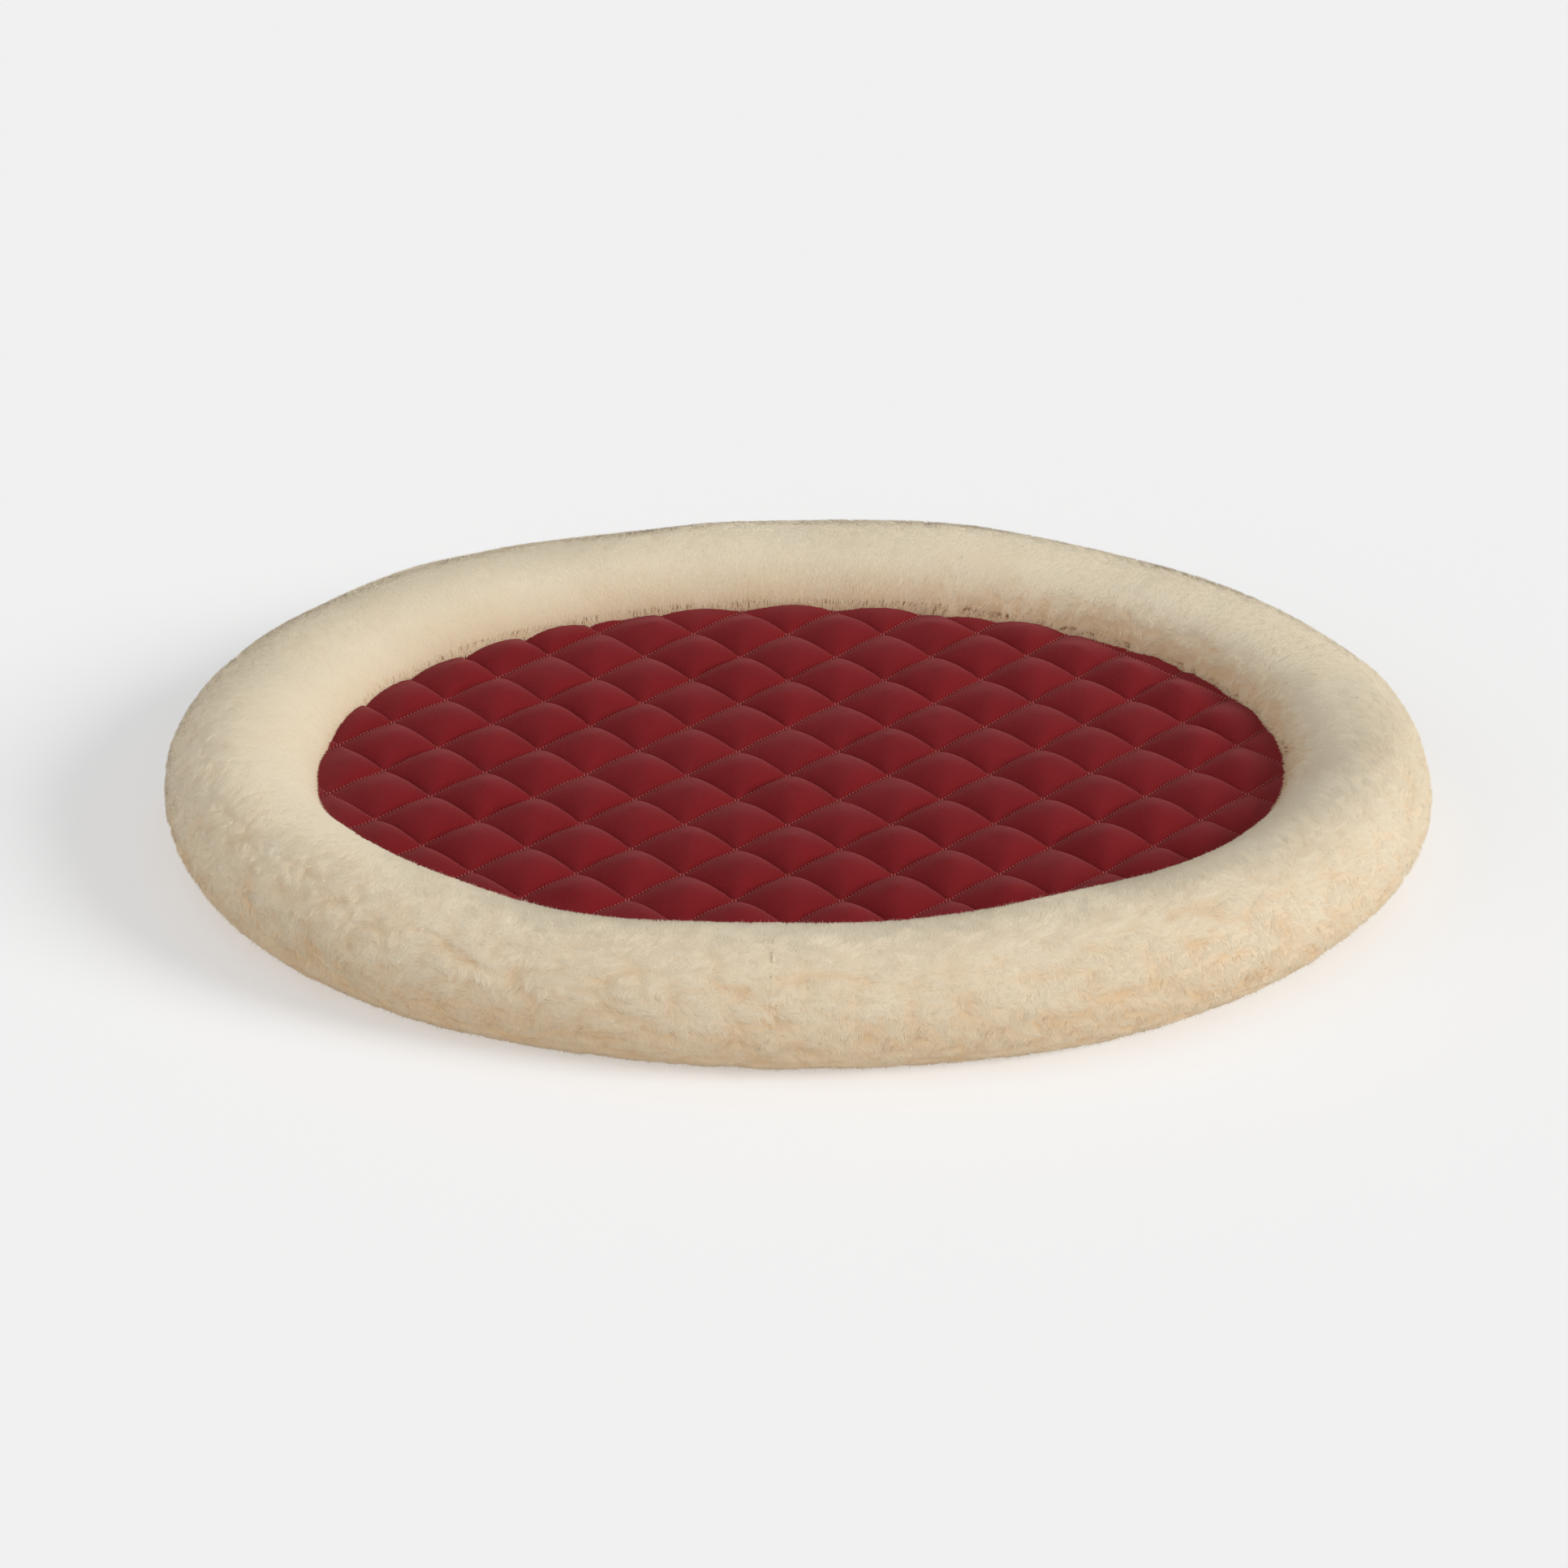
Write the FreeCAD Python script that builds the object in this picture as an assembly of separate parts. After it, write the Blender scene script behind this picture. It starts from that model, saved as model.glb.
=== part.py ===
"""Oval pet bed: a stuffed sheepskin rim sewn round a quilted cushion.

The origin is the middle of the underside. X runs along the long side, Y across, Z up.
All sizes are in millimetres. Across the rim, outlines are drawn as (outward, up), where
outward is measured from the middle of the roll.
"""
import FreeCAD, Part
import math
import os

from FreeCAD import Vector

# The oval that the middle of the rim follows.
OVAL_X = 327.0
OVAL_Y = 225.0
OVAL_SQUARING = 0.05       # pulls the two ends in and pushes the two long sides out

# The rim: wool outside, the skin that it grows from, and the stuffing.
RIM_HALF_WIDTH = 42.5
RIM_HEIGHT = 70.0
PILE = 11.0                # length of the clipped wool
FLATTENED = 4.0            # how much of the wool's round underside the floor presses flat
WOOL_FULLNESS = 2.15       # roundness across the roll: 2 is an ellipse, more is boxier
HIDE_FULLNESS = 2.3
HIDE_THICKNESS = 1.2
EASE = 0.3                 # clearance between soft pieces that only touch

# The cushion inside the rim, from the floor up.
BASE_CLOTH_THICKNESS = 2.0
BASE_CLOTH_EDGE = -6.0     # the cloth reaches this far under the roll
PAD_TOP = 30.0
BACKING_THICKNESS = 0.6
WADDING_THICKNESS = 8.0
FACE_THICKNESS = 0.8

# The quilting: squares set at 45 degrees to the long side.
SQUARE = 40.0
CROSSING_X = -5.0          # the crossing of two rows that is nearest the middle
CROSSING_Y = 48.5
STITCH_GAP = 1.5           # a run of stitches stops this far short of each crossing
RUN_WIDTH = 1.0
RUN_HEIGHT = 0.5
THREAD = 0.8
PANEL_SEAM = -34.0
ROWS_END = -36.0

# Where each length of sheepskin starts and ends, in degrees round the oval from +X.
SECTIONS = {
    "back_right": (6.0, 72.0),
    "back_left": (72.0, 165.0),
    "front_left": (165.0, 268.0),
    "front_right": (268.0, 366.0),
}
WOOL_GAP = 1.2             # the seam thread lies between two lengths of wool

HIDE_HALF_WIDTH = RIM_HALF_WIDTH - PILE
HIDE_TOP = RIM_HEIGHT - PILE
HIDE_BOTTOM = BASE_CLOTH_THICKNESS + EASE
CUSHION_EDGE = -HIDE_HALF_WIDTH - EASE
BACKING_BOTTOM = PAD_TOP + EASE
WADDING_BOTTOM = BACKING_BOTTOM + BACKING_THICKNESS + EASE
FACE_BOTTOM = WADDING_BOTTOM + WADDING_THICKNESS + EASE
PANEL_TOP = FACE_BOTTOM + FACE_THICKNESS
WOOL_OVER_PANEL = PANEL_TOP + THREAD + EASE


def oval_point(angle, outward=0.0, up=0.0):
    """A point beside the roll's middle, and the direction straight out from the oval there."""
    squaring = 1.0 - OVAL_SQUARING * math.cos(2 * angle)
    change = 2 * OVAL_SQUARING * math.sin(2 * angle)
    x = OVAL_X * math.cos(angle) * squaring
    y = OVAL_Y * math.sin(angle) * squaring
    dx = OVAL_X * (change * math.cos(angle) - squaring * math.sin(angle))
    dy = OVAL_Y * (change * math.sin(angle) + squaring * math.cos(angle))
    out = Vector(dy, -dx, 0).normalize()
    return Vector(x, y, up) + out * outward, out


def oval_wire(outward, up):
    """A closed oval that runs parallel to the roll's middle."""
    steps = 72
    points = [oval_point(2 * math.pi * i / steps, outward, up)[0] for i in range(steps)]
    curve = Part.BSplineCurve()
    curve.interpolate(Points=points, PeriodicFlag=True)
    return Part.Wire(curve.toShape())


def roll_path(start, end, gap):
    """The middle of the roll between two angles in degrees, half a gap short at both ends."""
    first, last = math.radians(start), math.radians(end)
    small = 0.001
    first += small * gap / 2 / (oval_point(first + small)[0] - oval_point(first)[0]).Length
    last -= small * gap / 2 / (oval_point(last - small)[0] - oval_point(last)[0]).Length
    steps = int((end - start) / 5)
    angles = [first + (last - first) * i / steps for i in range(steps + 1)]
    curve = Part.BSplineCurve()
    curve.interpolate(Points=[oval_point(a)[0] for a in angles])
    return Part.Wire(curve.toShape()), first


def rounded_outline(half_width, bottom, top, fullness):
    """A closed curve between a circle's roundness (fullness 2) and a box."""
    steps = 32
    middle, half_height = (top + bottom) / 2, (top - bottom) / 2
    points = []
    for i in range(steps):
        angle = 2 * math.pi * i / steps
        c, s = math.cos(angle), math.sin(angle)
        outward = half_width * math.copysign(abs(c) ** (2 / fullness), c)
        up = half_height * math.copysign(abs(s) ** (2 / fullness), s)
        points.append(Vector(outward, 0, middle + up))
    curve = Part.BSplineCurve()
    curve.interpolate(Points=points, PeriodicFlag=True)
    return Part.Wire(curve.toShape())


def hide_outline(outward):
    """The rolled hide's outside, or a curve this far outside it."""
    bottom, top = HIDE_BOTTOM - outward, HIDE_TOP + outward
    return rounded_outline(HIDE_HALF_WIDTH + outward, bottom, top, HIDE_FULLNESS)


def upright_box(outward_min, outward_max, bottom, top):
    """A rectangle across the roll."""
    corners = [
        Vector(outward_min, 0, bottom),
        Vector(outward_max, 0, bottom),
        Vector(outward_max, 0, top),
        Vector(outward_min, 0, top),
    ]
    return Part.Face(Part.makePolygon(corners + corners[:1]))


def stand(shape, angle):
    """Moves an outline drawn in the XZ plane to the roll's middle at an angle in radians."""
    point, out = oval_point(angle)
    placed = shape.copy()
    placed.rotate(Vector(0, 0, 0), Vector(0, 0, 1), math.degrees(math.atan2(out.y, out.x)))
    placed.translate(point)
    return placed


def sweep(path, wire):
    """Carries an upright closed wire along a level path as a solid."""
    shell = Part.BRepOffsetAPI.MakePipeShell(path)
    shell.setBiNormalMode(Vector(0, 0, 1))
    shell.add(wire, False, False)
    shell.build()
    shell.makeSolid()
    return shell.shape()


def rim_length(start, end, gap, wires):
    """One length of the rim: the first outline swept, less the others."""
    path, first = roll_path(start, end, gap)
    solids = [sweep(path, stand(wire, first)) for wire in wires]
    return solids[0].cut(solids[1:]) if solids[1:] else solids[0]


def ring(wire):
    """The same outline all the way round the bed."""
    return sweep(oval_wire(0, 0), stand(wire, 0))


def layer(edge, bottom, top):
    """A flat layer of the cushion."""
    return Part.Face(oval_wire(edge, bottom)).extrude(Vector(0, 0, top - bottom))


def thread_ring(outward, up):
    """A seam that runs all the way round the bed."""
    circle = Part.Circle(Vector(outward, 0, up), Vector(0, 1, 0), THREAD / 2)
    return ring(Part.Wire(circle.toShape()))


def wool_wire():
    """The wool's outline: round the hide from the panel, over the top, to the base cloth."""
    tips = Part.Face(rounded_outline(RIM_HALF_WIDTH, -FLATTENED, RIM_HEIGHT, WOOL_FULLNESS))
    above_floor = upright_box(-2 * RIM_HALF_WIDTH, 2 * RIM_HALF_WIDTH, 0, 2 * RIM_HEIGHT)
    skin = Part.Face(hide_outline(EASE))
    cushion = upright_box(-2 * RIM_HALF_WIDTH, BASE_CLOTH_EDGE + THREAD + EASE, -1, WOOL_OVER_PANEL)
    outline = tips.common(above_floor).cut(skin).cut(cushion)
    return outline.Faces[0].OuterWire


def section_seam(degrees):
    """The seam between two lengths of sheepskin, a loop of thread round the hide."""
    reach = EASE + THREAD / 2
    loop = hide_outline(reach)
    side = Vector(HIDE_HALF_WIDTH + reach, 0, (HIDE_BOTTOM + HIDE_TOP) / 2)
    # The waxed thread is pressed to ten flat sides.
    corners = [math.radians(36 * k) for k in range(11)]
    around = [side + Vector(math.cos(turn), math.sin(turn), 0) * THREAD / 2 for turn in corners]
    shell = Part.BRepOffsetAPI.MakePipeShell(loop)
    shell.setBiNormalMode(Vector(0, 1, 0))
    shell.add(Part.makePolygon(around), False, False)
    shell.build()
    shell.makeSolid()
    return stand(shell.shape(), math.radians(degrees))


def quilting_runs():
    """Every run of stitches between two crossings, in both directions, inside the panel's edge."""
    half_diagonal = SQUARE / math.sqrt(2)
    columns = 1 + int(OVAL_X / half_diagonal)
    rows = 2 + int(OVAL_Y / half_diagonal)
    length = SQUARE - 2 * STITCH_GAP
    runs = []
    for i in range(-columns, columns + 1):
        for j in range(-rows, rows + 1):
            if (i + j) % 2:
                continue
            crossing = Vector(CROSSING_X + i * half_diagonal, CROSSING_Y + j * half_diagonal, PANEL_TOP)
            for turn in (45, -45):
                bar = Part.makeBox(length, RUN_WIDTH, RUN_HEIGHT, Vector(STITCH_GAP, -RUN_WIDTH / 2, 0))
                bar.rotate(Vector(0, 0, 0), Vector(0, 0, 1), turn)
                bar.translate(crossing)
                runs.append(bar)
    inside = layer(ROWS_END, PANEL_TOP - 1, PANEL_TOP + 1)
    kept = [run.common(inside) for run in runs]
    return Part.makeCompound([solid for run in kept for solid in run.Solids if solid.Volume > 1.0])


def write(name, shape):
    shape.exportStep(os.path.join("parts", name + ".step"))
    solids = shape.Solids
    print(f"{name}: {len(solids)} solids, {shape.Volume / 1000:.1f} cm3, valid {shape.isValid()}")


os.makedirs("parts", exist_ok=True)

# The cushion, from the floor up.
write("base_cloth", layer(BASE_CLOTH_EDGE, 0, BASE_CLOTH_THICKNESS))
write("base_pad", layer(CUSHION_EDGE, BASE_CLOTH_THICKNESS + EASE, PAD_TOP))
write("quilt_backing", layer(CUSHION_EDGE, BACKING_BOTTOM, BACKING_BOTTOM + BACKING_THICKNESS))
write("quilt_wadding", layer(CUSHION_EDGE, WADDING_BOTTOM, WADDING_BOTTOM + WADDING_THICKNESS))
write("quilt_face", layer(CUSHION_EDGE, FACE_BOTTOM, PANEL_TOP))
write("quilting_thread", quilting_runs())

# The rim, from its middle outward.
hide_outer = hide_outline(0)
hide_inner = hide_outline(-HIDE_THICKNESS)
filling = hide_outline(-HIDE_THICKNESS - EASE)
write("rim_filling", ring(filling))
wool = wool_wire()
for place, (start, end) in SECTIONS.items():
    write("rim_hide_" + place, rim_length(start, end, EASE, [hide_outer, hide_inner]))
    write("rim_wool_" + place, rim_length(start, end, WOOL_GAP, [wool]))

# The seams that hold it together.
write("panel_seam_thread", thread_ring(PANEL_SEAM, PANEL_TOP + THREAD / 2))
write("base_seam_thread", thread_ring(BASE_CLOTH_EDGE + (THREAD + EASE) / 2, BASE_CLOTH_THICKNESS / 2))
write("section_seam_thread", Part.makeCompound([section_seam(start) for start, end in SECTIONS.values()]))
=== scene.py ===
import math

import bpy
import numpy as np
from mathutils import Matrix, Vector


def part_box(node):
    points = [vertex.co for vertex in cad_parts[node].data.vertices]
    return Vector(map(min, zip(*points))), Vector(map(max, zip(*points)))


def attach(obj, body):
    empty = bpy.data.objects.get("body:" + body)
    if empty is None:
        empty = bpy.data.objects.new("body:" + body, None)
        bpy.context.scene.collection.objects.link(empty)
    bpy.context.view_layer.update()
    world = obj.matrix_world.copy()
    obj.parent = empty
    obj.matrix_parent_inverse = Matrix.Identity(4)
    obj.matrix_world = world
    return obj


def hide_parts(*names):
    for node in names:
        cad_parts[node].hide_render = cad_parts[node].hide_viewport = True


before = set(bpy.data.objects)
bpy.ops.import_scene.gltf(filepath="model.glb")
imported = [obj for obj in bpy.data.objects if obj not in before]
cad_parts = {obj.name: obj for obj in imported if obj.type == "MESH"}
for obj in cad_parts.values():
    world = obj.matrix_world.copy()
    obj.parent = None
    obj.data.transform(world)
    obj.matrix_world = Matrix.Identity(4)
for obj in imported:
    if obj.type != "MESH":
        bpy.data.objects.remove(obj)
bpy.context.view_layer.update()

MM = 0.001


# ---------------------------------------------------------------------------------------------
# The room: a plain pale floor that glows a little, as a lit sweep does, one broad lamp to the
# right, weaker ones in front and to the left, and a ring of soft lamps overhead for a sky. The
# camera looks down on the long side from the front.
# ---------------------------------------------------------------------------------------------
scene = bpy.context.scene
scene.view_settings.view_transform = "Standard"


def aim(thing, target):
    thing.rotation_euler = (Vector(target) - thing.location).to_track_quat("-Z", "Y").to_euler()


def soft_sun(name, towards, strength, spread, tint):
    """A far lamp with a broad face, so its shadows are soft and the floor is lit evenly."""
    lamp = bpy.data.lights.new(name, "SUN")
    lamp.energy = strength
    lamp.angle = math.radians(spread)
    lamp.color = tint
    lamp.cycles.use_multiple_importance_sampling = False
    thing = bpy.data.objects.new(name, lamp)
    scene.collection.objects.link(thing)
    thing.location = towards
    aim(thing, (0.0, 0.0, 0.0))


soft_sun("key_light", (1.0, -0.3, 0.5), 2.5, 25.0, (1.0, 0.99, 0.97))
soft_sun("front_light", (-0.1, -1.0, 0.5), 0.35, 50.0, (1.0, 0.99, 0.98))
soft_sun("left_light", (-1.0, -0.4, 0.5), 0.72, 50.0, (1.0, 0.99, 0.98))
soft_sun("sky_overhead", (0.0, 0.0, 1.0), 0.30, 60.0, (0.98, 0.985, 1.0))
for number in range(6):
    turn = math.radians(60 * number + 30)
    towards = (math.cos(turn), math.sin(turn), 0.9)
    soft_sun("sky_" + str(number), towards, 0.20, 60.0, (0.98, 0.985, 1.0))

sky = bpy.data.worlds.new("studio_sky")
scene.world = sky
sky.use_nodes = True
sky.node_tree.nodes["Background"].inputs["Color"].default_value = (0.98, 0.985, 1.0, 1.0)
sky.node_tree.nodes["Background"].inputs["Strength"].default_value = 0.06

camera = bpy.data.objects.new("camera", bpy.data.cameras.new("camera"))
scene.collection.objects.link(camera)
scene.camera = camera
CAMERA_REACH = 2.236
CAMERA_PITCH = math.radians(28.2)
LOOK_AT = Vector((-0.005, 0.0485, 0.033))
camera.data.lens = 89.5
camera.data.clip_start = 0.05
camera.location = LOOK_AT + CAMERA_REACH * Vector((0, -math.cos(CAMERA_PITCH), math.sin(CAMERA_PITCH)))
camera.rotation_euler = (math.radians(90) - CAMERA_PITCH - math.radians(0.80), 0, math.radians(0.06))

floor = bpy.data.objects.new("floor", bpy.data.meshes.new("floor"))
floor.data.from_pydata([(-9, -9, 0), (9, -9, 0), (9, 9, 0), (-9, 9, 0)], [], [(0, 1, 2, 3)])
scene.collection.objects.link(floor)
floor_paint = bpy.data.materials.new("pale_floor")
floor_paint.use_nodes = True
floor_shader = floor_paint.node_tree.nodes["Principled BSDF"]
floor_shader.inputs["Base Color"].default_value = (0.62, 0.62, 0.62, 1)
floor_shader.inputs["Roughness"].default_value = 0.95
floor_shader.inputs["Specular IOR Level"].default_value = 0.0
floor_shader.inputs["Emission Color"].default_value = (1.0, 1.0, 1.0, 1)
floor_shader.inputs["Emission Strength"].default_value = 0.326
floor_paint.cycles.emission_sampling = "NONE"
floor.data.materials.append(floor_paint)


# ---------------------------------------------------------------------------------------------
# Base cloth: a flat piece of burgundy cotton canvas that closes the underside. Its edge is
# turned in and hand-sewn to the hide under the roll.
# ---------------------------------------------------------------------------------------------
wool_nodes = [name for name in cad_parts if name.startswith("rim_wool_")]
RIM_HIGH = np.max([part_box(name)[1] for name in wool_nodes], axis=0)
ROLL_HALF_WIDTH = 42.5 * MM
OVAL_SQUARING = 0.05
OVAL_X = (RIM_HIGH[0] - ROLL_HALF_WIDTH) / (1 - OVAL_SQUARING)
OVAL_Y = (RIM_HIGH[1] - ROLL_HALF_WIDTH) / (1 + OVAL_SQUARING)
OVAL_SIZE = (OVAL_X + OVAL_Y) / 2
OVAL_END = OVAL_X * (1 - OVAL_SQUARING)
SEAM_STITCH = 5 * MM
SEAM_THREAD_RADIUS = 0.4 * MM


def oval(angle, outward=0.0):
    """Points beside the middle of the roll, seen from above, and the direction straight out."""
    angle = np.asarray(angle, float)
    squaring = 1 - OVAL_SQUARING * np.cos(2 * angle)
    change = 2 * OVAL_SQUARING * np.sin(2 * angle)
    along_x = OVAL_X * (change * np.cos(angle) - squaring * np.sin(angle))
    along_y = OVAL_Y * (change * np.sin(angle) + squaring * np.cos(angle))
    length = np.hypot(along_x, along_y)
    out_x, out_y = along_y / length, -along_x / length
    x = OVAL_X * np.cos(angle) * squaring + out_x * outward
    y = OVAL_Y * np.sin(angle) * squaring + out_y * outward
    return x, y, out_x, out_y


def even_angles(first, last, step):
    """Angles between two others whose points lie evenly along the roll."""
    fine = np.linspace(first, last, 2000)
    x, y, _, _ = oval(fine)
    run = np.concatenate([[0], np.cumsum(np.hypot(np.diff(x), np.diff(y)))])
    count = max(2, int(round(run[-1] / step)))
    return np.interp(np.linspace(0, run[-1], count + 1), run, fine)


def new_piece(name, vertices, faces, material):
    """A mesh object that rides on the bed's one body."""
    mesh = bpy.data.meshes.new(name)
    mesh.from_pydata(vertices.tolist(), [], faces)
    mesh.validate()
    mesh.polygons.foreach_set("use_smooth", [True] * len(mesh.polygons))
    mesh.update()
    mesh.materials.append(material)
    piece = bpy.data.objects.new(name, mesh)
    scene.collection.objects.link(piece)
    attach(piece, "root")
    return piece


def paint(piece, values):
    """Painted shade for each point of the surface: how lit it is, from deep down in hollows (0) to right
    out in the light (1).
    """
    attribute = piece.data.attributes.new("lit", "FLOAT", "POINT")
    attribute.data.foreach_set("value", np.clip(values, 0, 1).ravel().astype(np.float32))


def grid_faces(rows, columns, wrap_rows=False, wrap_columns=False):
    """Quads between neighbouring points of a grid stored row by row."""
    r = np.arange(rows if wrap_rows else rows - 1)
    c = np.arange(columns if wrap_columns else columns - 1)
    r, c = np.meshgrid(r, c, indexing="ij")
    r2, c2 = (r + 1) % rows, (c + 1) % columns
    quads = np.stack([r * columns + c, r * columns + c2, r2 * columns + c2, r2 * columns + c], -1)
    return quads.reshape(-1, 4)


def new_material(name):
    material = bpy.data.materials.new(name)
    material.use_nodes = True
    tree = material.node_tree
    return material, tree, tree.nodes["Principled BSDF"]


def feed(tree, socket, value):
    """Gives a socket a fixed value, a fixed colour or another node's output."""
    if isinstance(value, bpy.types.NodeSocket):
        tree.links.new(value, socket)
    elif isinstance(value, tuple):
        socket.default_value = (*value, 1)
    else:
        socket.default_value = value


def arithmetic(tree, operation, *values):
    node = tree.nodes.new("ShaderNodeMath")
    node.operation = operation
    for socket, value in zip(node.inputs, values):
        feed(tree, socket, value)
    return node.outputs[0]


def noise(tree, place, scale, detail, distortion=0.0):
    node = tree.nodes.new("ShaderNodeTexNoise")
    feed(tree, node.inputs["Vector"], place)
    feed(tree, node.inputs["Scale"], scale)
    feed(tree, node.inputs["Detail"], detail)
    feed(tree, node.inputs["Distortion"], distortion)
    return node.outputs["Fac"]


def object_place(tree):
    return tree.nodes.new("ShaderNodeTexCoord").outputs["Object"]


def blend(tree, share, low, high):
    """A colour this share of the way from one colour to another."""
    node = tree.nodes.new("ShaderNodeMix")
    node.data_type = "RGBA"
    feed(tree, node.inputs["Factor"], share)
    feed(tree, node.inputs[6], low)
    feed(tree, node.inputs[7], high)
    return node.outputs[2]


def relief(tree, height, strength, distance):
    """Fine relief on the material's surface."""
    bump = tree.nodes.new("ShaderNodeBump")
    bump.inputs["Strength"].default_value = strength
    bump.inputs["Distance"].default_value = distance
    tree.links.new(height, bump.inputs["Height"])
    tree.links.new(bump.outputs["Normal"], tree.nodes["Principled BSDF"].inputs["Normal"])


def new_group(name, inputs, outputs):
    """A node group whose inputs are numbers with a starting value and whose outputs are numbers."""
    group = bpy.data.node_groups.new(name, "ShaderNodeTree")
    for label, start in inputs:
        socket = group.interface.new_socket(label, in_out="INPUT", socket_type="NodeSocketFloat")
        socket.default_value = start
    for label in outputs:
        group.interface.new_socket(label, in_out="OUTPUT", socket_type="NodeSocketFloat")
    into, out = group.nodes.new("NodeGroupInput"), group.nodes.new("NodeGroupOutput")
    return group, into.outputs, out.inputs


def place_group(tree, group, **values):
    node = tree.nodes.new("ShaderNodeGroup")
    node.node_tree = group
    for label, value in values.items():
        node.inputs[label.replace("_", " ")].default_value = value
    return node.outputs


def weave_group():
    """Woven cloth: ribs at an angle, broken up by the threads' own unevenness and a broad mottling."""
    group, given, result = new_group(
        "woven_threads",
        (("Threads per metre", 900.0), ("Rib angle", 0.0), ("Unevenness", 0.25)),
        ("Height", "Shade"),
    )
    place = object_place(group)
    turn = group.nodes.new("ShaderNodeVectorRotate")
    turn.rotation_type = "Z_AXIS"
    feed(group, turn.inputs["Vector"], place)
    feed(group, turn.inputs["Angle"], given["Rib angle"])
    scale = group.nodes.new("ShaderNodeVectorMath")
    scale.operation = "SCALE"
    feed(group, scale.inputs[0], turn.outputs["Vector"])
    feed(group, scale.inputs["Scale"], given["Threads per metre"])
    threads = scale.outputs["Vector"]
    split = group.nodes.new("ShaderNodeSeparateXYZ")
    feed(group, split.inputs["Vector"], threads)
    warp, weft = [
        arithmetic(group, "SINE", arithmetic(group, "MULTIPLY", split.outputs[axis], 2 * math.pi))
        for axis in ("X", "Y")
    ]
    ribs = arithmetic(group, "MULTIPLY_ADD", weft, 0.35, warp)
    slubs = arithmetic(group, "MULTIPLY", noise(group, threads, 0.35, 3.0), given["Unevenness"])
    height = arithmetic(group, "MULTIPLY_ADD", ribs, 0.37, slubs)
    feed(group, result["Height"], height)
    # Painted shade: the weave's low grooves are coloured darker than its raised ribs; the broad mottling
    # is random tone.
    shade = group.nodes.new("ShaderNodeMapRange")
    shade.inputs["From Min"].default_value = -0.5
    shade.inputs["From Max"].default_value = 0.75
    feed(group, shade.inputs["Value"], height)
    mottling = arithmetic(group, "MULTIPLY", noise(group, place, 45.0, 5.0), 0.5)
    mottled = arithmetic(group, "MULTIPLY_ADD", shade.outputs["Result"], 0.55, mottling)
    feed(group, result["Shade"], mottled)
    return group


WEAVE = weave_group()


def cloth_material(name, dark, light, threads, angle, depth, roughness, sheen, sheen_tint):
    """A woven cloth in two close shades of one colour."""
    material, tree, shader = new_material(name)
    shader.inputs["Roughness"].default_value = roughness
    shader.inputs["Specular IOR Level"].default_value = 0.08
    shader.inputs["Sheen Weight"].default_value = sheen
    shader.inputs["Sheen Roughness"].default_value = 0.6
    shader.inputs["Sheen Tint"].default_value = (*sheen_tint, 1)
    weave = place_group(tree, WEAVE, Threads_per_metre=threads, Rib_angle=angle)
    feed(tree, shader.inputs["Base Color"], blend(tree, weave["Shade"], dark, light))
    relief(tree, weave["Height"], 0.6, depth)
    return material


def stitch_row(starts, ends, lifts, radius, dip):
    """Sewn stitches: each rises out of one needle hole and goes down the next."""
    sides = 5
    along = np.array([0.0, 0.18, 0.5, 0.82, 1.0])
    rise = np.array([-dip, 0.55 * radius, radius, 0.55 * radius, -dip])
    thick = np.array([0.45, 0.95, 1.0, 0.95, 0.45]) * radius
    direction = ends - starts
    direction /= np.linalg.norm(direction, axis=1)[:, None]
    up = lifts / np.linalg.norm(lifts, axis=1)[:, None]
    across = np.cross(direction, up)
    middle = starts[:, None] + (ends - starts)[:, None] * along[None, :, None]
    middle = middle + up[:, None] * rise[None, :, None]
    turn = 2 * np.pi * np.arange(sides) / sides
    ring = across[:, None, None] * np.cos(turn)[None, None, :, None]
    ring = ring + up[:, None, None] * np.sin(turn)[None, None, :, None]
    vertices = middle[:, :, None] + ring * thick[None, :, None, None]
    one = grid_faces(len(along), sides, wrap_columns=True)
    caps = [list(range(sides))[::-1], [sides * (len(along) - 1) + k for k in range(sides)]]
    size = sides * len(along)
    faces = [tuple(q + size * i) for i in range(len(starts)) for q in one]
    faces += [tuple(k + size * i for k in cap) for i in range(len(starts)) for cap in caps]
    # Painted shade: each stitch is darkest at its ends, where it goes down into the needle holes, and a
    # little darker on its lower shoulders.
    lit = np.tile(np.repeat([0.0, 0.75, 1.0, 0.75, 0.0], sides), len(starts))
    return vertices.reshape(-1, 3), faces, lit


def ply_group():
    """Twisted thread: the slanting plies, as a height that also sets their shade."""
    group, given, result = new_group("twisted_plies", (("Plies", 900.0),), ("Height",))
    ply = group.nodes.new("ShaderNodeTexWave")
    ply.bands_direction = "DIAGONAL"
    ply.inputs["Distortion"].default_value = 1.0
    feed(group, ply.inputs["Vector"], object_place(group))
    feed(group, ply.inputs["Scale"], given["Plies"])
    feed(group, result["Height"], ply.outputs["Fac"])
    return group


TWIST = ply_group()


def thread_material(name, colour, sheen_colour):
    """Twisted sewing thread, with painted shade where it goes down its needle hole."""
    material, tree, shader = new_material(name)
    shader.inputs["Roughness"].default_value = 0.8
    shader.inputs["Specular IOR Level"].default_value = 0.1
    shader.inputs["Sheen Weight"].default_value = 0.1
    shader.inputs["Sheen Tint"].default_value = (*sheen_colour, 1)
    ply = place_group(tree, TWIST)["Height"]
    thread = blend(tree, ply, tuple(0.75 * c for c in colour), colour)
    lit = tree.nodes.new("ShaderNodeAttribute")
    lit.attribute_name = "lit"
    # Painted shade: a tenth of the thread's colour where it sinks into its hole.
    shade_in_hole = tuple(0.10 * c for c in colour)
    feed(tree, shader.inputs["Base Color"], blend(tree, lit.outputs["Fac"], shade_in_hole, thread))
    relief(tree, ply, 0.5, 0.1 * MM)
    return material


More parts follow.
